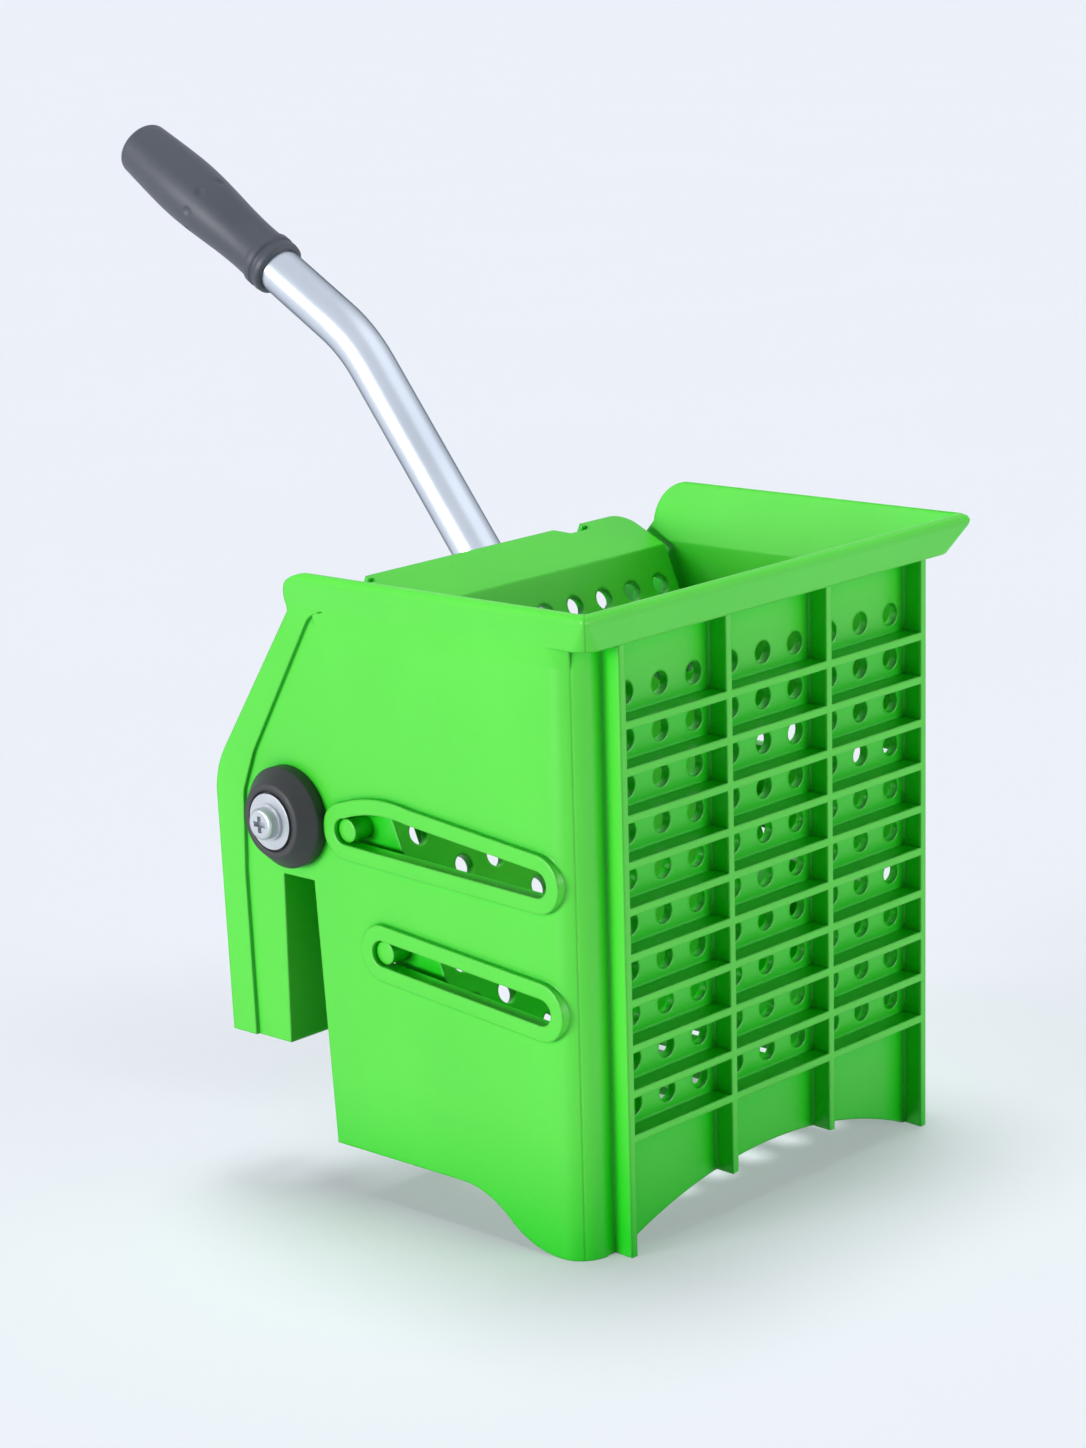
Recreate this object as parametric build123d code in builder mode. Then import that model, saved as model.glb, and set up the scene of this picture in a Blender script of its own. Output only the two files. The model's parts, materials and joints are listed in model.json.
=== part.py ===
"""Press wringer for a mop bucket: ribbed hopper, sliding press plate, hand lever with axle and cranks.

Sizes in millimetres. The design frame has X to the right seen from the front, Y from the rib faces
to the back and Z up from the front feet. Every piece is moved to the bucket rim's seat on export.
"""
import os
from math import cos, radians, sin, tan

from build123d import *

# Hopper
wall_x = 112.0            # outer face of a side wall
wall_t = 4.0
rim_out = 7.0             # the rim's nose stands this far out of a side wall
rim_top = 268.0
rim_skirt = 16.0
rim_step = 1.6            # ledge under the rim, and the raised band round the rear edge and the leg
rim_nose = [(4.5, 0.4), (2.6, 0.0), (1.0, 0.7), (0.0, 2.3)]   # drop from the top, step in from the nose
rim_land = 3.5            # from the nose to the inner edge
flare_drop = 26.0         # a side wall's inside slopes out over this height
rim_corner = 2.5          # corner radius at the nose
rim_root_corner = 9.0     # and where the rim leaves the hopper
rim_cove = 8.0            # height over which a side wall runs out into the rim
cove_turn = 44.0          # degrees round the front corner, just short of the parting line
front_rim_y = -7.2
band_corner_y = 152.1     # the raised band turns down from the rim here
band_round = 14.0
band_line = [(193.5, 187.3), (201.7, 168.8), (204.2, 133.0), (204.5, 0.0)]
panel_t = 4.0
lean = 1.77               # degrees that the front wall leans out at the top
column_r = 13.0           # outer radius of the hopper's front corners

# Ribs and drain holes of the front wall
rib_top_z = 221.0         # upper edge of the first cross rib
rib_depth = 9.0
rib_t = 3.3
rib_pitch = 18.86
rib_rows = 10
bay = 62.0
hole_d = 9.4
hole_pitch = 20.0
hole_rise = 8.3           # hole centre over the rib below it
arch_half = 90.0
arch_rise = 19.0

# Side outline, as (y, z) points
rim_end_y = 150.0
rear_shoulder = (166.5, 250.0)
rear_knee = (212.0, 186.0)
leg_back_y = 219.0
leg_knee_z = 168.0
leg_bottom_z = 60.0
leg_front_y = 184.0
seat_z = 135.5            # the bucket's rim bears here
seat_front_y = 162.4
seat_back_y = 181.2
foot_back_y = 158.3
base_z = 20.7
sweep_back_y = 84.6
sweep_front_y = 30.0
leg_flange_t = 3.5
leg_flange_in = 24.0
seat_flange_in = 16.0
seat_lap = 3.0            # the seat's flange runs this far past the slot's front

# Guide slots, pins and the press plate's travel
pin_d = 10.0
pin_play = 0.6            # play of a guide pin in its slot
slot_border = 6.6
slot_border_t = 2.5
upper_pin = (139.6, 160.6)
lower_pin = (121.2, 111.5)
slot_fall = 5.0           # degrees that the guide slots fall to the front
lower_slot_run = 90.0
upper_crest = (121.0, 170.4)
upper_crest_front = (102.0, 169.3)
upper_slot_end = (30.5, 156.4)
travel = 70.0
plate_turn = 17.5         # degrees of press plate turn over the travel
lever_turn = 82.0
pin_proud = 0.5           # a guide pin's end stands out of the wall
pin_lap = 4.0             # and its root goes this far past the flange

# Press plate
plate_x = 103.0
plate_t = 4.0
plate_lean = 22.5
plate_ref = (128.9, 181.6)
plate_bottom_z = 60.0
plate_crease_z = 241.7
lip_length = 27.5
lip_rise = 25.0
lip_corner = 9.0
flange_t = 3.5
flange_depth = 27.0
flange_top_depth = 12.0
flange_low_z = 90.0       # the flange has its full depth from here
flange_high_z = 172.0     # up to here
flange_end_drop = 8.0
plate_hole_d = 9.4
plate_pitch = 18.4
plate_columns = 11
plate_rows = 10
plate_first_row = 48.0
plate_rib_x = 82.8
plate_rib_depth = 10.0
plate_rib_low = 6.0       # a back rib starts this far above the lower edge
plate_rib_high = 14.0     # and ends this far below the crease
plate_rib_ramp = 8.0
notch_x = 66.0
notch_half = 8.5
notch_deep = 5.0
notch_ramp = 6.5          # sloping side of a notch
notch_hook = (2.0, 2.5)   # undercut of the other side, and the hook's height

# Axle, bushes and their fastenings
axle = (173.9, 161.9)
axle_d = 16.0
bush_d = 43.4
bush_face_d = 31.5
bush_t = 12.0
bush_land = 5.0           # straight part of the bush before its chamfer
sleeve_d = 24.0
sleeve_in = 4.0
washer_d = 24.0
washer_t = 2.0
washer_recess = 1.7
washer_room = 1.0         # round the washer in its recess
screw_d = 8.0
screw_loose = 0.2         # round the screw in its washer
screw_flange_d = 15.8
screw_flange_t = 1.4
screw_head_d = 13.6
screw_head_t = 4.2
screw_depth = 18.0
tap_past = 2.0            # the tapped hole goes on past the screw
head_round = 1.4
recess_long = 7.0         # cross recess in the head
recess_wide = 2.2
recess_deep = 2.6
running = 0.05            # radial clearance of a shaft in its bore
side_play = 0.3

# Lever, cranks and drive brackets
lever_x = 62.3
tube_d = 22.0
tube_wall = 1.5
lever_bend = (303.8, 330.4)
lever_bend_r = 80.0
grip_angle = 30.5
grip_start = 59.0         # from the bend's corner to the grip's collar
grip_length = 110.0
grip_cap = 11.0           # solid end of the grip beyond the tube
# The grip's outline: along the grip, and over the tube
grip_collar = [(0.0, 1.2), (0.8, 2.4), (3.4, 2.8), (4.2, 2.0), (6.0, 2.0), (6.8, 2.9), (10.0, 2.9),
               (11.0, 2.0)]
grip_swell = [(24.0, 1.8), (45.0, 3.1), (70.0, 4.4), (92.0, 3.5)]
grip_tip = (3.0, 2.5)     # where the rounded tip starts: from the end, and over the tube
grip_flat_r = 10.8
dent_along = 54.0         # ring of thumb dents round the grip
dent_count = 8
dent_r = 5.5
dent_deep = 0.7
dent_over = 3.65          # the grip's surface over the tube at the dents
hub_d = 28.0
hub_length = 30.0
crank_r = 75.0
crank_angle = 62.0        # of the resting cranks, up from the level
crank_t = 5.0
crank_x = 33.0            # inner face of a crank
crank_end_r = 9.0
crank_pin_d = 8.0
bracket_x = 23.3          # inner face of a bracket's web
bracket_t = 3.0
bracket_foot = 8.6
bracket_play = 1.2        # play of the crank pin in a bracket's slot
bracket_edge = 3.0
bracket_foot_low_z = 188.0
bracket_foot_high_z = 226.0
bracket_screws_each = 3
bracket_screw_d = 3.0
bracket_head_d = 5.4
bracket_head_t = 2.2
bracket_screw_in = 2.6    # depth of a screw in the plate
ring_d = 15.0
ring_mouth = 6.5
groove_deep = 1.0
groove_play = 0.1
pin_past = 4.0            # the crank pin runs this far past a crank
ring_t = 1.5

# Drain floor
floor_t = 3.5
floor_corner = 12.0
floor_back_y = 150.0
ledge_in = 7.0
ledge_front_y = 36.0
floor_slot_pitch = 24.0
floor_slot = (12.0, 92.0)
floor_gap = 0.3

os.makedirs("parts", exist_ok=True)

# Worked sizes
skirt_z = rim_top - rim_skirt
cove_z = skirt_z - rim_cove
flare_z = rim_top - flare_drop
wall_in = wall_x - wall_t
slope = tan(radians(lean))
rim_x = wall_x + rim_out
column_x = wall_x - column_r              # the flat of the front panel ends here
corner_in = rib_depth + column_r          # a corner's axis lies this far behind the rib faces
flare_x = wall_in + (rim_x - rim_land - wall_in) * (flare_drop - rim_skirt) / flare_drop
fall = (-cos(radians(slot_fall)), -sin(radians(slot_fall)))
seat_y = (seat_front_y + seat_back_y) / 2
seat_at = Pos(0, -seat_y, -seat_z)


def face_y(z, back=0.0):
    """Front of the ribs and columns at height z, or a plane that far behind it."""
    return back + (rib_top_z - z) * slope


def plate_y(z, back=0.0):
    """Front face of the press plate at height z, or a plane that far behind it."""
    return plate_ref[0] + (z - plate_ref[1]) * tan(radians(plate_lean)) + back / cos(radians(plate_lean))


def turned(point, angle):
    """A (y, z) vector turned by an angle in degrees, from +Y towards +Z."""
    c = cos(radians(angle))
    s = sin(radians(angle))
    return (point[0] * c - point[1] * s, point[0] * s + point[1] * c)


def crank_pin_on_plate(part_way):
    """Crank pin's place on the resting press plate, for a part of the lever's turn."""
    arm = turned((crank_r, 0), crank_angle + lever_turn * part_way)
    slide = travel * part_way
    from_pin = (axle[0] + arm[0] - lower_pin[0] - slide * fall[0],
                axle[1] + arm[1] - lower_pin[1] - slide * fall[1])
    back = turned(from_pin, -plate_turn * part_way)
    return (lower_pin[0] + back[0], lower_pin[1] + back[1])


front_wall = Plane(origin=(0, 0, rib_top_z), x_dir=(1, 0, 0),
                   z_dir=(0, -cos(radians(lean)), -sin(radians(lean))))
up_wall = (0, -sin(radians(lean)), cos(radians(lean)))
foot_v = -rib_top_z / cos(radians(lean))
skirt_v = (skirt_z - rib_top_z) / cos(radians(lean))
lip_dir = (cos(radians(lip_rise)), sin(radians(lip_rise)))
crease = (plate_y(plate_crease_z), plate_crease_z)
plate_face = Plane(origin=(0, plate_ref[0], plate_ref[1]), x_dir=(1, 0, 0),
                   z_dir=(0, -cos(radians(plate_lean)), sin(radians(plate_lean))))
lip_plane = Plane(origin=(0, crease[0], crease[1]), x_dir=(1, 0, 0),
                  z_dir=(0, -lip_dir[1], lip_dir[0]))
screw_gap = (bracket_foot_high_z - bracket_foot_low_z) / bracket_screws_each / cos(radians(plate_lean))
screw_mid_v = ((bracket_foot_low_z + bracket_foot_high_z) / 2 - plate_ref[1]) / cos(radians(plate_lean))
screw_x = bracket_x + (bracket_t + bracket_foot) / 2
plate_bottom_v = (plate_bottom_z - plate_ref[1]) / cos(radians(plate_lean))
plate_crease_v = (plate_crease_z - plate_ref[1]) / cos(radians(plate_lean))

# Outlines that several sketches share
with BuildSketch() as side_outline:
    with BuildLine():
        top = Line((face_y(rim_top, corner_in), rim_top), (rim_end_y, rim_top))
        shoulder = TangentArc(top @ 1, rear_shoulder, tangent=(1, 0))
        Line(rear_shoulder, rear_knee)
        TangentArc(rear_knee, (leg_back_y, leg_knee_z),
                   tangent=(rear_knee[0] - rear_shoulder[0], rear_knee[1] - rear_shoulder[1]))
        Polyline((leg_back_y, leg_knee_z), (leg_back_y, leg_bottom_z), (leg_front_y, leg_bottom_z),
                 (seat_back_y, seat_z), (seat_front_y, seat_z), (foot_back_y, base_z),
                 (sweep_back_y, base_z))
        middle = ((sweep_back_y + sweep_front_y) / 2, base_z / 2)
        fall_away = TangentArc((sweep_back_y, base_z), middle, tangent=(-1, 0))
        TangentArc(middle, (sweep_front_y, 0), tangent=fall_away % 1)
        Line((sweep_front_y, 0), (face_y(0, corner_in), 0))
        Line((face_y(0, corner_in), 0), (face_y(rim_top, corner_in), rim_top))
    make_face()

with BuildSketch() as upper_slot:
    pin_r = pin_d / 2 + pin_play
    with BuildLine():
        crest = ThreePointArc((upper_pin[0], upper_pin[1] + pin_r), upper_crest, upper_crest_front)
        fore = Line(crest @ 1, (upper_slot_end[0], upper_slot_end[1] + pin_r))
        ThreePointArc(fore @ 1, (upper_slot_end[0] - pin_r, upper_slot_end[1]),
                      (upper_slot_end[0], upper_slot_end[1] - pin_r))
        Line((upper_slot_end[0], upper_slot_end[1] - pin_r), (upper_pin[0], upper_pin[1] - pin_r))
        ThreePointArc((upper_pin[0], upper_pin[1] - pin_r), (upper_pin[0] + pin_r, upper_pin[1]),
                      crest @ 0)
    make_face()

with BuildSketch() as lower_slot:
    half_run = lower_slot_run / 2
    with Locations(Location((lower_pin[0] + half_run * fall[0], lower_pin[1] + half_run * fall[1]), slot_fall)):
        SlotCenterToCenter(lower_slot_run, pin_d + 2 * pin_play)


def rim_plan(out_x, front_y, corner):
    """Plan of the rim: two sides and a front with rounded corners, run past the back."""
    with Locations((0, front_y)):
        Rectangle(2 * out_x, 2 * leg_back_y, align=(Align.CENTER, Align.MIN))
    fillet(vertices().group_by(Axis.Y)[0], corner)


def corner_plan(start, side):
    """Plan at the feet of half a corner's wall, from an angle on the left; side is -1 or 1."""
    centre = (side * column_x, face_y(0, corner_in))
    first = start if side < 0 else 180 - start
    turn = 45 if side < 0 else -45
    with BuildSketch() as plan:
        with BuildLine():
            outer = CenterArc(centre, column_r, first, turn)
            inner = CenterArc(centre, column_r - wall_t, first, turn)
            Line(outer @ 0, inner @ 0)
            Line(outer @ 1, inner @ 1)
        make_face()
    return plan.sketch


# The whole rim, of which the side walls and the front panel each take their part
rim_stages = [(rim_skirt, rim_out - rim_step, rim_root_corner)]
rim_stages += [(drop, inset, rim_corner) for drop, inset in rim_nose]
with BuildPart() as rim_ring:
    for stage in zip(rim_stages, rim_stages[1:]):
        for drop, inset, corner in stage:
            with BuildSketch(Plane.XY.offset(rim_top - drop)):
                rim_plan(rim_x - inset, front_rim_y + inset, corner)
        loft()
    with BuildSketch(Plane.XY.offset(skirt_z)):
        rim_plan(flare_x, face_y(skirt_z, rib_depth + panel_t), column_r - wall_t)
    with BuildSketch(Plane.XY.offset(rim_top)):
        rim_plan(rim_x - rim_land, front_rim_y + rim_land, rim_corner)
    loft(mode=Mode.SUBTRACT)

# Left side wall's run-out into the rim
corner_y = face_y(skirt_z, corner_in)
with BuildSketch() as cove:
    with BuildLine():
        Polyline((-wall_x, cove_z), (-wall_x - rim_step, skirt_z), (-wall_x + rim_step, skirt_z), close=True)
    make_face()

# Side walls, each with half of its front corner, its rim, guide slots, hook leg and seat flange
with BuildPart() as left_side_wall:
    add(rim_ring.part)
    with BuildSketch(Plane.XY.offset(skirt_z)):
        with BuildLine():
            Polyline((-rim_x, front_rim_y), (-rim_x + corner_in, front_rim_y + corner_in),
                     (-rim_x + corner_in, leg_back_y), (-rim_x, leg_back_y), close=True)
        make_face()
    extrude(amount=rim_skirt, mode=Mode.INTERSECT)
    with BuildSketch(Plane.YZ.offset(-rim_x)):
        add(side_outline.sketch)
        with Locations((front_rim_y, skirt_z)):
            Rectangle(rim_end_y - front_rim_y, rim_skirt, align=Align.MIN)
    extrude(amount=corner_in, mode=Mode.INTERSECT)
    with BuildSketch(Plane.YZ.offset(-wall_x)):
        add(side_outline.sketch)
        with Locations((0, skirt_z)):
            Rectangle(2 * leg_back_y, 2 * rim_skirt, align=(Align.CENTER, Align.MIN), mode=Mode.SUBTRACT)
    extrude(amount=wall_t)
    with BuildSketch(Plane.XY):
        add(corner_plan(180, -1))
    extrude(amount=skirt_z / cos(radians(lean)), dir=up_wall)
    with BuildSketch(Plane.XZ.offset(-corner_y)):
        add(cove.sketch)
    extrude(amount=corner_y - band_corner_y)
    with BuildSketch(Plane.XZ.offset(-corner_y)):
        add(cove.sketch)
    revolve(axis=Axis((-column_x, corner_y, 0), (0, 0, 1)), revolution_arc=cove_turn)
    with BuildSketch(Plane.XZ.offset(-face_y(flare_z, corner_in))):
        with BuildLine():
            Polyline((-wall_in, flare_z), (-flare_x, skirt_z), (-wall_in, skirt_z), close=True)
        make_face()
    extrude(amount=-leg_back_y, mode=Mode.SUBTRACT)
    with BuildSketch(Plane.YZ.offset(-wall_x - rim_step)):
        add(side_outline.sketch)
        with BuildLine():
            field = FilletPolyline((0, skirt_z), (band_corner_y, skirt_z), *band_line, radius=band_round)
            Polyline(field @ 1, (0, band_line[-1][1]), field @ 0)
        make_face(mode=Mode.SUBTRACT)
        with Locations((0, skirt_z)):
            Rectangle(2 * leg_back_y, 2 * rim_skirt, align=(Align.CENTER, Align.MIN), mode=Mode.SUBTRACT)
    extrude(amount=rim_step)
    for slot in (upper_slot, lower_slot):
        with BuildSketch(Plane.YZ.offset(-wall_x - slot_border_t)):
            add(slot.sketch)
            offset(amount=slot_border)
        extrude(amount=slot_border_t + wall_t / 2)
    for slot in (upper_slot, lower_slot):
        with BuildSketch(Plane.YZ.offset(-wall_x - slot_border_t)):
            add(slot.sketch)
        extrude(amount=slot_border_t + wall_t, mode=Mode.SUBTRACT)
    with BuildSketch(Plane.YZ.offset(-wall_in)):
        with BuildLine():
            Polyline((leg_front_y, leg_bottom_z), (seat_back_y, seat_z),
                     (seat_back_y + leg_flange_t, seat_z), (leg_front_y + leg_flange_t, leg_bottom_z),
                     close=True)
        make_face()
    extrude(amount=leg_flange_in)
    with BuildSketch(Plane.YZ.offset(-wall_in)):
        with Locations((seat_front_y - seat_lap, seat_z)):
            Rectangle(seat_back_y - seat_front_y + seat_lap + leg_flange_t, leg_flange_t,
                      align=Align.MIN)
        with Locations((leg_back_y - leg_flange_t, leg_bottom_z)):
            Rectangle(leg_flange_t, seat_z - leg_bottom_z, align=Align.MIN)
    extrude(amount=seat_flange_in)
    with BuildSketch(Plane.YZ.offset(-wall_in)):
        with Locations((ledge_front_y, base_z)):
            Rectangle(floor_back_y - ledge_front_y, leg_flange_t, align=Align.MIN)
    extrude(amount=ledge_in)
    with BuildSketch(Plane.YZ.offset(-wall_x)):
        with Locations(axle):
            Circle(sleeve_d / 2)
    extrude(amount=wall_t, mode=Mode.SUBTRACT)

with BuildPart() as right_side_wall:
    add(mirror(left_side_wall.part, about=Plane.YZ, mode=Mode.PRIVATE))

# Front panel with its rib grid, drain holes, arched foot and front rim
with BuildSketch() as foot_arch:
    with BuildLine():
        arch = ThreePointArc((-arch_half, foot_v), (0, foot_v + arch_rise), (arch_half, foot_v))
        Line(arch @ 0, arch @ 1)
    make_face()

with BuildPart() as front_panel:
    with BuildSketch(front_wall.offset(-rib_depth - panel_t)):
        with Locations((0, foot_v)):
            Rectangle(2 * column_x, skirt_v - foot_v, align=(Align.CENTER, Align.MIN))
        add(foot_arch.sketch, mode=Mode.SUBTRACT)
        with Locations(*[(bay * k, hole_rise - rib_pitch * (rib_rows - 1) / 2) for k in (-1, 0, 1)]):
            with GridLocations(hole_pitch, rib_pitch, 3, rib_rows):
                Circle(hole_d / 2, mode=Mode.SUBTRACT)
    extrude(amount=panel_t)
    with BuildSketch(front_wall.offset(-rib_depth)):
        with Locations((0, (foot_v + skirt_v) / 2)):
            with GridLocations(bay, 1, 4, 1):
                Rectangle(rib_t, skirt_v - foot_v)
        with Locations((0, -rib_t / 2 - rib_pitch * (rib_rows - 1) / 2)):
            with GridLocations(1, rib_pitch, 1, rib_rows):
                Rectangle(3 * bay, rib_t)
        add(foot_arch.sketch, mode=Mode.SUBTRACT)
    extrude(amount=rib_depth)
    with BuildSketch(Plane.XY):
        add(corner_plan(225, -1))
        add(corner_plan(225, 1))
    extrude(amount=skirt_z / cos(radians(lean)), dir=up_wall)
    with BuildSketch(Plane.XY):
        with Locations((0, -rim_x)):
            Rectangle(4 * rim_x, 4 * rim_x, align=(Align.CENTER, Align.MIN))
    extrude(amount=skirt_z, mode=Mode.INTERSECT)
    with BuildSketch(Plane.XY.offset(skirt_z)):
        with BuildLine():
            Polyline((-rim_x, front_rim_y), (rim_x, front_rim_y),
                     (rim_x - corner_in, front_rim_y + corner_in),
                     (-rim_x + corner_in, front_rim_y + corner_in), close=True)
        make_face()
    front_rim_block = extrude(amount=rim_skirt, mode=Mode.PRIVATE)
    add(front_rim_block & rim_ring.part)

# Drain floor on the side walls' ledges
floor_z = base_z + leg_flange_t
floor_front_y = face_y(floor_z, rib_depth + panel_t) + floor_gap
with BuildPart() as drain_floor:
    with BuildSketch(Plane.XY.offset(floor_z)):
        with Locations((0, floor_front_y)):
            Rectangle(2 * (wall_in - floor_gap), floor_back_y - floor_front_y,
                      align=(Align.CENTER, Align.MIN))
        fillet(vertices().group_by(Axis.Y)[0], floor_corner)
        with Locations((0, (floor_front_y + floor_back_y) / 2)):
            with GridLocations(floor_slot_pitch, 1, 7, 1):
                SlotOverall(floor_slot[1], floor_slot[0], rotation=90, mode=Mode.SUBTRACT)
    extrude(amount=floor_t)

# Press plate: perforated face, bent lip with hook notches, side flanges and back ribs
rib_low_z = plate_bottom_z + plate_rib_low
rib_high_z = plate_crease_z - plate_rib_high
rib_full_from = rib_low_z + plate_rib_ramp
rib_full_to = rib_high_z - plate_rib_ramp
flange_end_z = plate_crease_z - flange_end_drop
with BuildSketch() as plate_flange:
    with BuildLine():
        Polyline((plate_y(plate_bottom_z), plate_bottom_z),
                 (plate_y(plate_bottom_z, flange_top_depth), plate_bottom_z),
                 (plate_y(flange_low_z, flange_depth), flange_low_z),
                 (plate_y(flange_high_z, flange_depth), flange_high_z),
                 (plate_y(flange_end_z, flange_top_depth), flange_end_z), crease, close=True)
    make_face()
    with Locations(upper_pin, lower_pin):
        Circle(pin_d / 2 + running, mode=Mode.SUBTRACT)

with BuildPart() as press_plate:
    with BuildSketch(plate_face):
        with Locations((0, plate_bottom_v)):
            Rectangle(2 * plate_x, plate_crease_v - plate_bottom_v, align=(Align.CENTER, Align.MIN))
        with Locations((0, plate_first_row - plate_pitch * (plate_rows - 1) / 2)):
            with GridLocations(plate_pitch, plate_pitch, plate_columns, plate_rows):
                Circle(plate_hole_d / 2, mode=Mode.SUBTRACT)
    extrude(amount=-plate_t)
    with BuildSketch(lip_plane):
        with Locations((0, 0)):
            Rectangle(2 * plate_x, lip_length, align=(Align.CENTER, Align.MIN))
        lip_ends = vertices().group_by(Axis.Y)[-1]
        fillet(lip_ends, lip_corner)
        for centre in (-notch_x, notch_x):
            from_x = centre - notch_half
            to_x = centre + notch_half
            hook_x = to_x + notch_hook[0]
            with BuildLine():
                Polyline((from_x, lip_length), (from_x + notch_ramp, lip_length - notch_deep),
                         (hook_x, lip_length - notch_deep), (hook_x, lip_length - notch_hook[1]),
                         (to_x, lip_length - notch_hook[1]), (to_x, lip_length), close=True)
            make_face(mode=Mode.SUBTRACT)
    extrude(amount=-plate_t)
    for flange_x in (-plate_x, plate_x - flange_t):
        with BuildSketch(Plane.YZ.offset(flange_x)):
            add(plate_flange.sketch)
        extrude(amount=flange_t)
    for rib_x in (-plate_rib_x, 0, plate_rib_x):
        with BuildSketch(Plane.YZ.offset(rib_x - flange_t / 2)):
            with BuildLine():
                Polyline((plate_y(rib_low_z, plate_t), rib_low_z),
                         (plate_y(rib_full_from, plate_rib_depth), rib_full_from),
                         (plate_y(rib_full_to, plate_rib_depth), rib_full_to),
                         (plate_y(rib_high_z, plate_t), rib_high_z), close=True)
            make_face()
        extrude(amount=flange_t)
    with BuildSketch(plate_face.offset(-plate_t)):
        with Locations((-screw_x, screw_mid_v), (screw_x, screw_mid_v)):
            with GridLocations(1, screw_gap, 1, bracket_screws_each):
                Circle(bracket_screw_d / 2 + running)
    extrude(amount=bracket_screw_in + side_play, mode=Mode.SUBTRACT)

# Guide pins: the upper pair is fixed in the plate, the plate turns on the lower pair
pin_out = wall_x + pin_proud
pin_in = plate_x - flange_t - pin_lap
with BuildPart() as upper_guide_pins:
    for side in (-1, 1):
        with BuildSketch(Plane.YZ.offset(side * pin_out)):
            with Locations(upper_pin):
                Circle(pin_d / 2)
        extrude(amount=-side * (pin_out - pin_in))

with BuildPart() as lower_guide_pins:
    for side in (-1, 1):
        with BuildSketch(Plane.YZ.offset(side * pin_out)):
            with Locations(lower_pin):
                Circle(pin_d / 2)
        extrude(amount=-side * (pin_out - pin_in))

# Bushes that carry the axle in the side walls
bush_face = wall_x + bush_t
with BuildPart() as left_bush:
    with BuildSketch(Plane.YZ.offset(-wall_x)):
        with Locations(axle):
            Circle(bush_d / 2)
    extrude(amount=-bush_land)
    with BuildSketch(Plane.YZ.offset(-wall_x - bush_land)):
        with Locations(axle):
            Circle(bush_d / 2)
    with BuildSketch(Plane.YZ.offset(-bush_face)):
        with Locations(axle):
            Circle(bush_face_d / 2)
    loft()
    with BuildSketch(Plane.YZ.offset(-wall_x)):
        with Locations(axle):
            Circle(sleeve_d / 2 - running)
    extrude(amount=wall_t + sleeve_in)
    with BuildSketch(Plane.YZ.offset(-bush_face)):
        with Locations(axle):
            Circle(washer_d / 2 + washer_room)
    extrude(amount=washer_recess, mode=Mode.SUBTRACT)
    with BuildSketch(Plane.YZ.offset(-bush_face)):
        with Locations(axle):
            Circle(axle_d / 2 + running)
    extrude(amount=bush_t + wall_t + sleeve_in, mode=Mode.SUBTRACT)

with BuildPart() as right_bush:
    add(mirror(left_bush.part, about=Plane.YZ, mode=Mode.PRIVATE))

# Axle with tapped ends, washers and screws
axle_end = bush_face - washer_recess + side_play
with BuildPart() as axle_shaft:
    with BuildSketch(Plane.YZ.offset(-axle_end)):
        with Locations(axle):
            Circle(axle_d / 2)
    extrude(amount=2 * axle_end)
    for side in (-1, 1):
        with BuildSketch(Plane.YZ.offset(side * axle_end)):
            with Locations(axle):
                Circle(screw_d / 2 + running)
        extrude(amount=-side * (screw_depth + tap_past), mode=Mode.SUBTRACT)

with BuildPart() as axle_washers:
    for side in (-1, 1):
        with BuildSketch(Plane.YZ.offset(side * axle_end)):
            with Locations(axle):
                Circle(washer_d / 2)
                Circle(screw_d / 2 + screw_loose, mode=Mode.SUBTRACT)
        extrude(amount=side * washer_t)

with BuildPart() as axle_screws:
    for side in (-1, 1):
        seat = axle_end + washer_t
        with BuildSketch(Plane.YZ.offset(side * (axle_end - screw_depth))):
            with Locations(axle):
                Circle(screw_d / 2)
        extrude(amount=side * (screw_depth + washer_t))
        with BuildSketch(Plane.YZ.offset(side * seat)):
            with Locations(axle):
                Circle(screw_flange_d / 2)
        extrude(amount=side * screw_flange_t)
        with BuildSketch(Plane.YZ.offset(side * (seat + screw_flange_t))):
            with Locations(axle):
                Circle(screw_head_d / 2)
        extrude(amount=side * screw_head_t)
        head_edges = edges(Select.LAST).filter_by(GeomType.CIRCLE).sort_by(Axis.X)
        fillet(head_edges[-1] if side > 0 else head_edges[0], head_round)
        with BuildSketch(Plane.YZ.offset(side * (seat + screw_flange_t + screw_head_t))):
            with Locations(axle):
                Rectangle(recess_long, recess_wide)
                Rectangle(recess_wide, recess_long)
        extrude(amount=-side * recess_deep, mode=Mode.SUBTRACT)

# Hand lever: hub on the axle, bent tube and grip
lever_side = Plane.YZ.offset(lever_x)
grip_dir = turned((1, 0), grip_angle)
grip_at = (lever_bend[0] + grip_start * grip_dir[0], lever_bend[1] + grip_start * grip_dir[1])
bore_depth = grip_length - grip_cap
tube_end = (grip_at[0] + bore_depth * grip_dir[0], grip_at[1] + bore_depth * grip_dir[1])
with BuildPart() as lever_hub:
    with BuildSketch(Plane.YZ.offset(lever_x - hub_length / 2)):
        with Locations(axle):
            Circle(hub_d / 2)
            Circle(axle_d / 2 + running, mode=Mode.SUBTRACT)
    extrude(amount=hub_length)

with BuildPart() as lever_tube:
    with BuildLine(lever_side) as lever_path:
        FilletPolyline(axle, lever_bend, tube_end, radius=lever_bend_r)
    with BuildSketch(Plane(origin=lever_path.line @ 0, x_dir=(1, 0, 0), z_dir=lever_path.line % 0)):
        Circle(tube_d / 2)
        Circle(tube_d / 2 - tube_wall, mode=Mode.SUBTRACT)
    sweep()
    with BuildSketch(Plane.YZ.offset(lever_x - hub_length)):
        with Locations(axle):
            Circle(hub_d / 2 + running)
    extrude(amount=2 * hub_length, mode=Mode.SUBTRACT)

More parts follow.
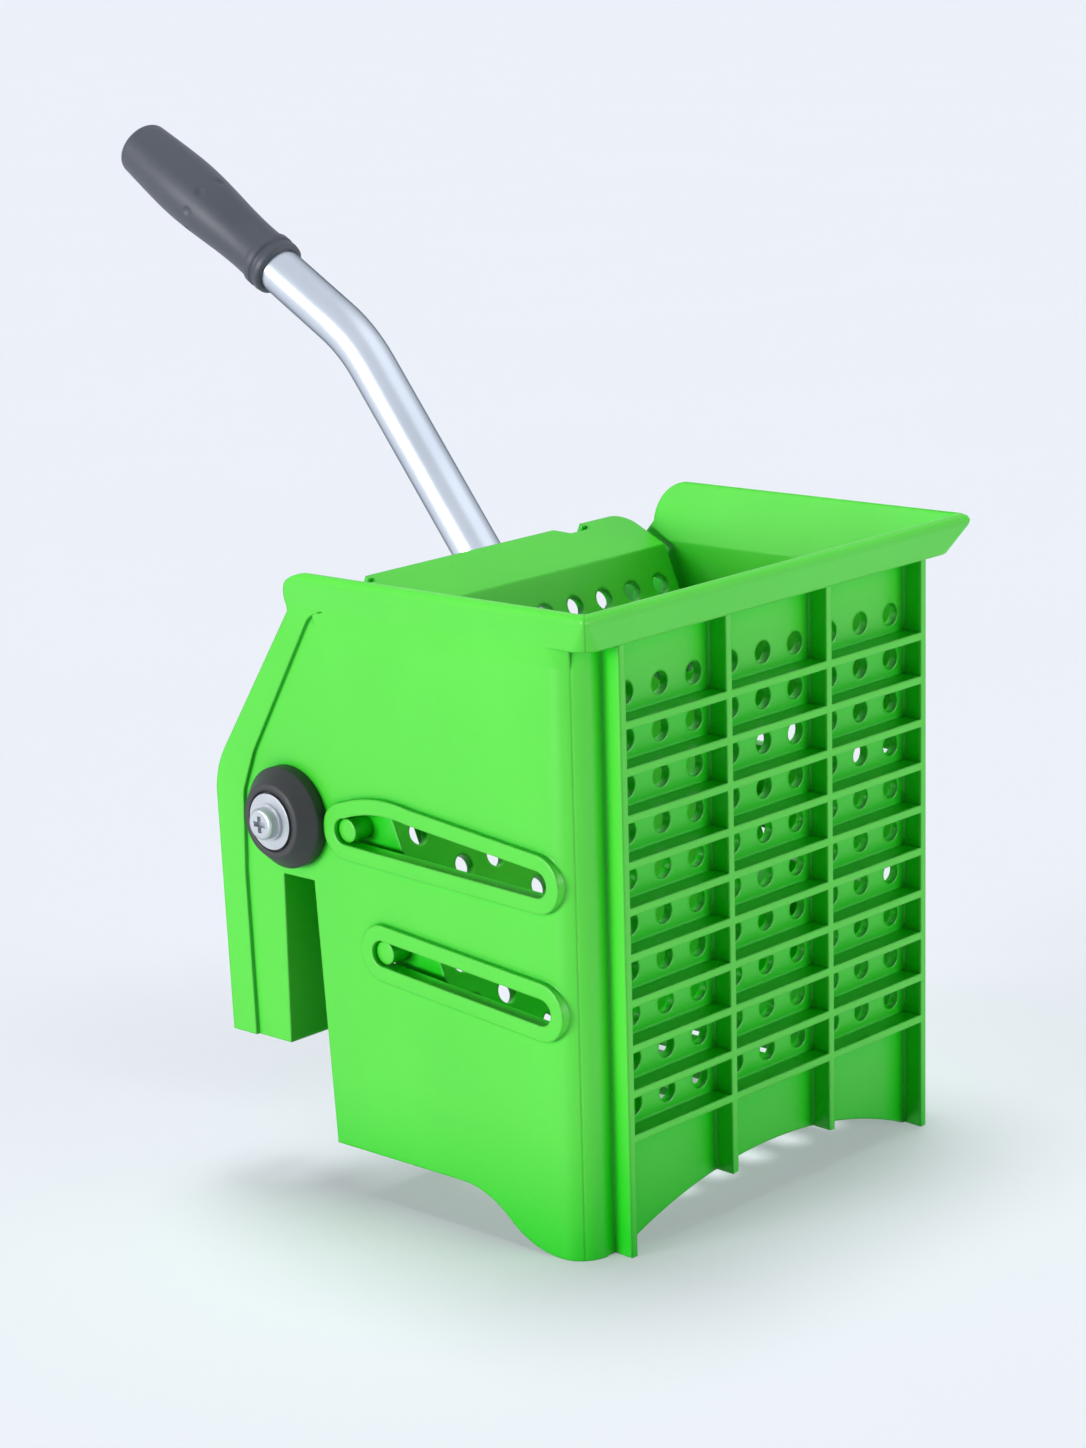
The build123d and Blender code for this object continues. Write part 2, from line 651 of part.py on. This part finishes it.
grip_plane = Plane(origin=(lever_x, grip_at[0], grip_at[1]), x_dir=(0, grip_dir[0], grip_dir[1]),
                   z_dir=(1, 0, 0))
with BuildPart() as grip:
    with BuildSketch(grip_plane):
        bore_r = tube_d / 2 + running
        with BuildLine():
            collar = Polyline(*[(along, tube_d / 2 + over) for along, over in grip_collar])
            swell = Spline(collar @ 1, *[(along, tube_d / 2 + over) for along, over in grip_swell],
                           (grip_length - grip_tip[0], tube_d / 2 + grip_tip[1]))
            tip = TangentArc(swell @ 1, (grip_length, grip_flat_r), tangent=swell % 1)
            Polyline(tip @ 1, (grip_length, 0), (bore_depth, 0), (bore_depth, bore_r), (0, bore_r),
                     collar @ 0)
        make_face()
    revolve(axis=Axis((lever_x, grip_at[0], grip_at[1]), (0, grip_dir[0], grip_dir[1])))
    dents_at = (lever_x, grip_at[0] + dent_along * grip_dir[0], grip_at[1] + dent_along * grip_dir[1])
    with Locations(Plane(origin=dents_at, x_dir=(1, 0, 0), z_dir=(0, grip_dir[0], grip_dir[1]))):
        with PolarLocations(tube_d / 2 + dent_over + dent_r - dent_deep, dent_count):
            Sphere(dent_r, mode=Mode.SUBTRACT)

# Cranks on the axle and the pin they carry
crank_arm = turned((crank_r, 0), crank_angle)
crank_end = (axle[0] + crank_arm[0], axle[1] + crank_arm[1])
with BuildPart() as left_crank:
    with BuildSketch(Plane.YZ.offset(-crank_x)):
        with Locations(axle):
            Circle(hub_d / 2)
        with Locations(crank_end):
            Circle(crank_end_r)
        make_hull()
        with Locations(axle):
            Circle(axle_d / 2 + running, mode=Mode.SUBTRACT)
        with Locations(crank_end):
            Circle(crank_pin_d / 2 + running, mode=Mode.SUBTRACT)
    extrude(amount=-crank_t)

with BuildPart() as right_crank:
    add(mirror(left_crank.part, about=Plane.YZ, mode=Mode.PRIVATE))

pin_half = crank_x + crank_t + pin_past
groove_x = crank_x + crank_t + side_play
with BuildPart() as crank_pin:
    with BuildSketch(Plane.YZ.offset(-pin_half)):
        with Locations(crank_end):
            Circle(crank_pin_d / 2)
    extrude(amount=2 * pin_half)
    for side in (-1, 1):
        with BuildSketch(Plane.YZ.offset(side * groove_x)):
            with Locations(crank_end):
                Circle(crank_pin_d / 2)
                Circle(crank_pin_d / 2 - groove_deep, mode=Mode.SUBTRACT)
        extrude(amount=side * (ring_t + 2 * groove_play), mode=Mode.SUBTRACT)

with BuildPart() as pin_rings:
    for side in (-1, 1):
        with BuildSketch(Plane.YZ.offset(side * (groove_x + groove_play))):
            with Locations(crank_end):
                Circle(ring_d / 2)
                Circle(crank_pin_d / 2 - groove_deep + running, mode=Mode.SUBTRACT)
            with Locations((crank_end[0] - ring_d / 2, crank_end[1])):
                Rectangle(ring_d, ring_mouth, mode=Mode.SUBTRACT)
        extrude(amount=side * ring_t)

# Drive brackets on the plate's back: the crank pin works in their slots
slot_stops = [crank_pin_on_plate(k / 20) for k in range(21)]
slot_y = (min(p[0] for p in slot_stops) + max(p[0] for p in slot_stops)) / 2
slot_low = (slot_y, min(p[1] for p in slot_stops))
slot_high = (slot_y, max(p[1] for p in slot_stops))
slot_run = slot_high[1] - slot_low[1]
slot_r = crank_pin_d / 2 + bracket_play
arm_out = slot_r + bracket_edge
foot_low = (plate_y(bracket_foot_low_z, plate_t), bracket_foot_low_z)
foot_high = (plate_y(bracket_foot_high_z, plate_t), bracket_foot_high_z)
with BuildPart() as left_bracket:
    with BuildSketch(Plane.YZ.offset(-bracket_x)):
        with BuildLine():
            Polyline(foot_low, foot_high, slot_high, slot_low, close=True)
        make_face()
        with Locations(slot_high, slot_low):
            Circle(arm_out)
        with Locations((slot_y, slot_low[1] + slot_run / 2)):
            Rectangle(2 * arm_out, slot_run)
            SlotCenterToCenter(slot_run, 2 * slot_r, rotation=90, mode=Mode.SUBTRACT)
    extrude(amount=-bracket_t)
    with BuildSketch(Plane.YZ.offset(-bracket_x)):
        with BuildLine():
            Polyline(foot_low, foot_high,
                     (plate_y(bracket_foot_high_z, plate_t + bracket_t), bracket_foot_high_z),
                     (plate_y(bracket_foot_low_z, plate_t + bracket_t), bracket_foot_low_z), close=True)
        make_face()
    extrude(amount=-bracket_foot)
    with BuildSketch(plate_face.offset(-plate_t)):
        with Locations((-screw_x, screw_mid_v)):
            with GridLocations(1, screw_gap, 1, bracket_screws_each):
                Circle(bracket_screw_d / 2 + running)
    extrude(amount=-bracket_t, mode=Mode.SUBTRACT)

with BuildPart() as right_bracket:
    add(mirror(left_bracket.part, about=Plane.YZ, mode=Mode.PRIVATE))

with BuildPart() as bracket_screws:
    with BuildSketch(plate_face.offset(-plate_t + bracket_screw_in)):
        with Locations((-screw_x, screw_mid_v), (screw_x, screw_mid_v)):
            with GridLocations(1, screw_gap, 1, bracket_screws_each):
                Circle(bracket_screw_d / 2)
    extrude(amount=-bracket_screw_in - bracket_t)
    with BuildSketch(plate_face.offset(-plate_t - bracket_t)):
        with Locations((-screw_x, screw_mid_v), (screw_x, screw_mid_v)):
            with GridLocations(1, screw_gap, 1, bracket_screws_each):
                Circle(bracket_head_d / 2)
    extrude(amount=-bracket_head_t)

pieces = {
    "front_panel": front_panel,
    "left_side_wall": left_side_wall,
    "right_side_wall": right_side_wall,
    "drain_floor": drain_floor,
    "press_plate": press_plate,
    "upper_guide_pins": upper_guide_pins,
    "lower_guide_pins": lower_guide_pins,
    "left_bush": left_bush,
    "right_bush": right_bush,
    "axle_shaft": axle_shaft,
    "axle_washers": axle_washers,
    "axle_screws": axle_screws,
    "lever_hub": lever_hub,
    "lever_tube": lever_tube,
    "grip": grip,
    "left_crank": left_crank,
    "right_crank": right_crank,
    "crank_pin": crank_pin,
    "pin_rings": pin_rings,
    "left_bracket": left_bracket,
    "right_bracket": right_bracket,
    "bracket_screws": bracket_screws,
}
for node, builder in pieces.items():
    solid = seat_at * builder.part
    solid.label = node
    export_step(solid, f"parts/{node}.step")
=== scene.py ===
import json
import math

import bpy
from mathutils import Matrix, Vector


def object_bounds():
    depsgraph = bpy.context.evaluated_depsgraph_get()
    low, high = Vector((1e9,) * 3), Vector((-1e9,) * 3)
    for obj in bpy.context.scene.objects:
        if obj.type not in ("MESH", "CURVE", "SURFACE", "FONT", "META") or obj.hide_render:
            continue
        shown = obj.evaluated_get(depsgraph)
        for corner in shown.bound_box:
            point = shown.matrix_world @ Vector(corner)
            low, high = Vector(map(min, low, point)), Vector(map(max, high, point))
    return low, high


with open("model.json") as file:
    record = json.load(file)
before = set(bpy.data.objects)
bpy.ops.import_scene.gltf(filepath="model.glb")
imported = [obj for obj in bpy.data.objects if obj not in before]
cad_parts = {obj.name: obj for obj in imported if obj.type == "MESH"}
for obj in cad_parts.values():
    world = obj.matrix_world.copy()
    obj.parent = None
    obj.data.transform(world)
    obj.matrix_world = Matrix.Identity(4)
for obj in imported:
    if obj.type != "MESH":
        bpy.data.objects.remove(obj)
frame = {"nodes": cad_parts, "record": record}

first_low, first_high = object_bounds()
scene = bpy.context.scene

# Lengths are in metres, angles in degrees and noise scales in waves per metre.

# Finishes by material slot. The colour runs from low to high and the roughness over rough. A finish with a
# shade colour turns to it in recesses, as painted shade. Edge tints what a metal mirrors at a glancing
# angle.
plastics = {
    "green_plastic": {
        "low": (0.072, 0.590, 0.034),
        "high": (0.082, 0.640, 0.040),
        "rough": (0.28, 0.38),
        "grain_scale": 900,
        "grain_strength": 0.04,
        "gloss": 0.5,
        # Painted shade: the darker, more saturated colour that recesses turn to
        "painted_shade": (0.004, 0.530, 0.003),
    },
    "bush_black": {
        "low": (0.020, 0.021, 0.024),
        "high": (0.028, 0.029, 0.033),
        "rough": (0.40, 0.55),
        "grain_scale": 700,
        "grain_strength": 0.08,
        "gloss": 0.5,
    },
    "grip_grey": {
        "low": (0.050, 0.057, 0.075),
        "high": (0.068, 0.075, 0.095),
        "rough": (0.42, 0.55),
        "grain_scale": 800,
        "grain_strength": 0.10,
        "gloss": 0.4,
    },
}
metals = {
    "zinc_tube": {
        "low": (0.68, 0.74, 0.81),
        "high": (0.80, 0.85, 0.91),
        "rough": (0.22, 0.32),
        "mark_stretch": (1, 0.2, 0.2),
        "edge": (0.10, 0.12, 0.15),
    },
    "zinc_steel": {
        "low": (0.44, 0.47, 0.50),
        "high": (0.60, 0.63, 0.66),
        "rough": (0.30, 0.44),
        "mark_stretch": (1, 1, 1),
        "edge": (1, 1, 1),
    },
}

# Share of the noise at which a colour is fully low or high
tone_start = 0.3
tone_end = 0.7

# Plastic: flow marks in the colour, wear in the gloss and a fine grain in relief
flow_scale = 14
flow_detail = 4
flow_stretch = (1, 1, 0.5)
wear_scale = 60
wear_detail = 3
grain_detail = 2
grain_depth = 0.0002

# Zinc: clouds in the colour, and drawn marks in the gloss and in relief
cloud_scale = 18
cloud_detail = 5
mark_scale = 90
mark_detail = 4
mark_strength = 0.05
mark_depth = 0.0003

# Radius over which edges and roots are shaded round
plastic_round = 0.0018
zinc_round = 0.0004
round_samples = 6

# Painted shade in recesses: how far off its walls still count, and the open shares at which the colour is
# fully the painted shade and not at all
painted_shade_reach = 0.09
painted_shade_closed = 0.50
painted_shade_open = 0.84
painted_shade_samples = 8

# Softened edges: their width by material slot, their steps and the least angle that counts as an edge.
# Faces that meet at less than the flat angle are joined first.
edge_width = {
    "green_plastic": 0.0007,
    "bush_black": 0.0008,
    "grip_grey": 0.0005,
    "zinc_tube": 0.0004,
    "zinc_steel": 0.0004,
}
edge_steps = 2
edge_angle = 35
flat_angle = 0.5

# Floor: a pale plane just under the part; a share of what is seen of it is a plain glow
floor_size = 80
floor_back = 20
floor_drop = 0.0002
floor_low = (0.755, 0.782, 0.850)
floor_high = (0.761, 0.788, 0.856)
floor_scale = 3
floor_detail = 2
glow_tint = (0.86, 0.89, 0.96)
glow_share = 0.36

# Room: the sky gives light, and the walls with their soft box are what the camera and mirrors see
sky_tint = (0.94, 0.965, 1.0)
sky_strength = 0.08
wall_tint = (0.90, 0.93, 1.0)
wall_strength = 0.80
box_towards = (0.36, -0.50, 0.78)
box_strength = 1.16
box_rim = 0.78
box_core = 0.97

# Camera of the photo, fitted to the rib grid and the rims
photo_height_px = 1448.0
photo_focal_px = 3600.0
sensor_mm = 36.0
nearest = 0.05
farthest = 200
camera_right = (0.69197, -0.720243, -0.04927)
camera_up = (0.205405, 0.130996, 0.969871)
camera_back = (-0.692088, -0.681242, 0.238586)
camera_place = (-1.07016, -1.09049, 0.41604)


def material(name):
    """A new node material and its main shader."""
    made = bpy.data.materials.new(name)
    made.use_nodes = True
    return made, made.node_tree, made.node_tree.nodes["Principled BSDF"]


def noise(tree, scale, detail, stretch=(1, 1, 1)):
    """Noise in the object's own frame."""
    where = tree.nodes.new("ShaderNodeTexCoord")
    sized = tree.nodes.new("ShaderNodeMapping")
    sized.inputs["Scale"].default_value = stretch
    made = tree.nodes.new("ShaderNodeTexNoise")
    made.inputs["Scale"].default_value = scale
    made.inputs["Detail"].default_value = detail
    tree.links.new(where.outputs["Object"], sized.inputs["Vector"])
    tree.links.new(sized.outputs["Vector"], made.inputs["Vector"])
    return made


def ramp(tree, source, low, high):
    """Colours between low and high, led by the noise."""
    made = tree.nodes.new("ShaderNodeValToRGB")
    made.color_ramp.elements[0].position = tone_start
    made.color_ramp.elements[1].position = tone_end
    made.color_ramp.elements[0].color = (*low, 1)
    made.color_ramp.elements[1].color = (*high, 1)
    tree.links.new(source.outputs["Fac"], made.inputs["Fac"])
    return made


def spread(tree, source, low, high):
    """A value between low and high, led by the noise."""
    made = tree.nodes.new("ShaderNodeMapRange")
    made.inputs["To Min"].default_value = low
    made.inputs["To Max"].default_value = high
    tree.links.new(source.outputs["Fac"], made.inputs["Value"])
    return made


def bump(tree, shader, source, strength, depth, radius):
    """Fine surface relief from the noise, over edges and roots that are shaded round."""
    made = tree.nodes.new("ShaderNodeBump")
    made.inputs["Strength"].default_value = strength
    made.inputs["Distance"].default_value = depth
    turned = tree.nodes.new("ShaderNodeBevel")
    turned.samples = round_samples
    turned.inputs["Radius"].default_value = radius
    tree.links.new(turned.outputs["Normal"], made.inputs["Normal"])
    tree.links.new(source.outputs["Fac"], made.inputs["Height"])
    tree.links.new(made.outputs["Normal"], shader.inputs["Normal"])


def painted_recess_shade(tree, tone, painted_shade):
    """Painted shade: the tone turns to the darker shade colour where near surfaces close it in.

    This stands in for light in a recess meeting the coloured plastic more than once.
    """
    painted_shade_openness = tree.nodes.new("ShaderNodeAmbientOcclusion")
    painted_shade_openness.samples = painted_shade_samples
    painted_shade_openness.inputs["Distance"].default_value = painted_shade_reach
    share = tree.nodes.new("ShaderNodeMapRange")
    share.inputs["From Min"].default_value = painted_shade_closed
    share.inputs["From Max"].default_value = painted_shade_open
    tree.links.new(painted_shade_openness.outputs["AO"], share.inputs["Value"])
    made = tree.nodes.new("ShaderNodeMixRGB")
    made.inputs["Color1"].default_value = (*painted_shade, 1)
    tree.links.new(share.outputs["Result"], made.inputs["Fac"])
    tree.links.new(tone.outputs["Color"], made.inputs["Color2"])
    return made


def moulded(name, low, high, rough, grain_scale, grain_strength, gloss, painted_shade=None):
    """Moulded plastic: slight flow marks in the colour, uneven gloss, a fine grain and, where a shade
    colour is given, painted shade in recesses.
    """
    made, tree, shader = material(name)
    tone = ramp(tree, noise(tree, flow_scale, flow_detail, flow_stretch), low, high)
    # Painted shade: recesses take the darker shade colour
    if painted_shade:
        tone = painted_recess_shade(tree, tone, painted_shade)
    tree.links.new(tone.outputs["Color"], shader.inputs["Base Color"])
    wear = noise(tree, wear_scale, wear_detail)
    tree.links.new(spread(tree, wear, *rough).outputs["Result"], shader.inputs["Roughness"])
    shader.inputs["Specular IOR Level"].default_value = gloss
    bump(tree, shader, noise(tree, grain_scale, grain_detail), grain_strength, grain_depth, plastic_round)
    return made


def plated(name, low, high, rough, mark_stretch, edge):
    """Zinc plating: bluish grey clouds and fine drawn marks."""
    made, tree, shader = material(name)
    tone = ramp(tree, noise(tree, cloud_scale, cloud_detail), low, high)
    tree.links.new(tone.outputs["Color"], shader.inputs["Base Color"])
    shader.inputs["Metallic"].default_value = 1.0
    shader.inputs["Specular Tint"].default_value = (*edge, 1)
    marks = noise(tree, mark_scale, mark_detail, mark_stretch)
    tree.links.new(spread(tree, marks, *rough).outputs["Result"], shader.inputs["Roughness"])
    bump(tree, shader, marks, mark_strength, mark_depth, zinc_round)
    return made


def seen_by_camera(tree):
    """One where the camera sees a surface, straight or mirrored, and nought for its light on others."""
    rays = tree.nodes.new("ShaderNodeLightPath")
    made = tree.nodes.new("ShaderNodeMath")
    made.operation = "MAXIMUM"
    tree.links.new(rays.outputs["Is Camera Ray"], made.inputs[0])
    tree.links.new(rays.outputs["Is Glossy Ray"], made.inputs[1])
    return made


def sun(name, towards, spread_angle, strength, mirrored=True):
    """A wide, even light from a far soft box; towards points from the object to it."""
    light = bpy.data.lights.new(name, "SUN")
    light.angle = math.radians(spread_angle)
    light.energy = strength
    made = bpy.data.objects.new(name, light)
    scene.collection.objects.link(made)
    made.rotation_mode = "QUATERNION"
    made.rotation_quaternion = Vector(towards).to_track_quat("Z", "Y")
    made.visible_glossy = mirrored


# Every piece gets its slot's finish and softened edges
looks = {slot: moulded(slot, **finish) for slot, finish in plastics.items()}
looks.update({slot: plated(slot, **finish) for slot, finish in metals.items()})
for part in frame["record"]["subparts"]:
    piece = frame["nodes"][part["node"]]
    slot = part["material_slot"]
    piece.data.materials.clear()
    piece.data.materials.append(looks[slot])
    flat = piece.modifiers.new("flat_faces", "DECIMATE")
    flat.decimate_type = "DISSOLVE"
    flat.angle_limit = math.radians(flat_angle)
    rounded = piece.modifiers.new("soft_edges", "BEVEL")
    rounded.width = edge_width[slot]
    rounded.segments = edge_steps
    rounded.limit_method = "ANGLE"
    rounded.angle_limit = math.radians(edge_angle)
    rounded.use_clamp_overlap = False
    rounded.harden_normals = True
    for face in piece.data.polygons:
        face.use_smooth = True

# Floor
bpy.ops.mesh.primitive_plane_add(size=floor_size, location=(0, floor_back, first_low.z - floor_drop))
floor = bpy.context.object
floor.name = "floor"
paper, paper_tree, paper_shader = material("studio_floor")
paper_tone = ramp(paper_tree, noise(paper_tree, floor_scale, floor_detail), floor_low, floor_high)
paper_tree.links.new(paper_tone.outputs["Color"], paper_shader.inputs["Base Color"])
paper_shader.inputs["Specular IOR Level"].default_value = 0.0
glow = paper_tree.nodes.new("ShaderNodeEmission")
glow.inputs["Color"].default_value = (*glow_tint, 1)
shown = seen_by_camera(paper_tree)
part_glow = paper_tree.nodes.new("ShaderNodeMath")
part_glow.operation = "MULTIPLY"
part_glow.inputs[1].default_value = glow_share
paper_mix = paper_tree.nodes.new("ShaderNodeMixShader")
paper_tree.links.new(shown.outputs["Value"], part_glow.inputs[0])
paper_tree.links.new(part_glow.outputs["Value"], paper_mix.inputs["Fac"])
paper_tree.links.new(paper_shader.outputs["BSDF"], paper_mix.inputs[1])
paper_tree.links.new(glow.outputs["Emission"], paper_mix.inputs[2])
paper_tree.links.new(paper_mix.outputs["Shader"], paper_tree.nodes["Material Output"].inputs["Surface"])
floor.data.materials.append(paper)

# Room
world = bpy.data.worlds.new("studio")
scene.world = world
world.use_nodes = True
room = world.node_tree
sky = room.nodes["Background"]
sky.inputs["Color"].default_value = (*sky_tint, 1)
sky.inputs["Strength"].default_value = sky_strength
walls = room.nodes.new("ShaderNodeBackground")
walls.inputs["Color"].default_value = (*wall_tint, 1)
outward = room.nodes.new("ShaderNodeTexCoord")
box_side = room.nodes.new("ShaderNodeVectorMath")
box_side.operation = "DOT_PRODUCT"
box_side.inputs[1].default_value = Vector(box_towards).normalized()
box_level = room.nodes.new("ShaderNodeMapRange")
box_level.interpolation_type = "SMOOTHSTEP"
box_level.inputs["From Min"].default_value = box_rim
box_level.inputs["From Max"].default_value = box_core
box_level.inputs["To Min"].default_value = wall_strength
box_level.inputs["To Max"].default_value = box_strength
room.links.new(outward.outputs["Generated"], box_side.inputs[0])
room.links.new(box_side.outputs["Value"], box_level.inputs["Value"])
room.links.new(box_level.outputs["Result"], walls.inputs["Strength"])
either = room.nodes.new("ShaderNodeMixShader")
room.links.new(seen_by_camera(room).outputs["Value"], either.inputs["Fac"])
room.links.new(sky.outputs["Background"], either.inputs[1])
room.links.new(walls.outputs["Background"], either.inputs[2])
room.links.new(either.outputs["Shader"], room.nodes["World Output"].inputs["Surface"])

# Lights: low from the left, from above and low from the front
sun("key", towards=(-1.0, 0.28, 0.07), spread_angle=28, strength=4.35)
sun("top", towards=(0.12, 0.12, 1.0), spread_angle=28, strength=2.65, mirrored=False)
sun("front", towards=(0.38, -1.0, 0.05), spread_angle=34, strength=2.35)

# Camera
lens = bpy.data.cameras.new("photo_camera")
lens.sensor_width = sensor_mm
lens.lens = photo_focal_px / photo_height_px * sensor_mm
lens.clip_start = nearest
lens.clip_end = farthest
camera = bpy.data.objects.new("photo_camera", lens)
scene.collection.objects.link(camera)
turn = Matrix((camera_right, camera_up, camera_back)).transposed()
camera.matrix_world = Matrix.Translation(camera_place) @ turn.to_4x4()
scene.camera = camera
scene.view_settings.view_transform = "Standard"
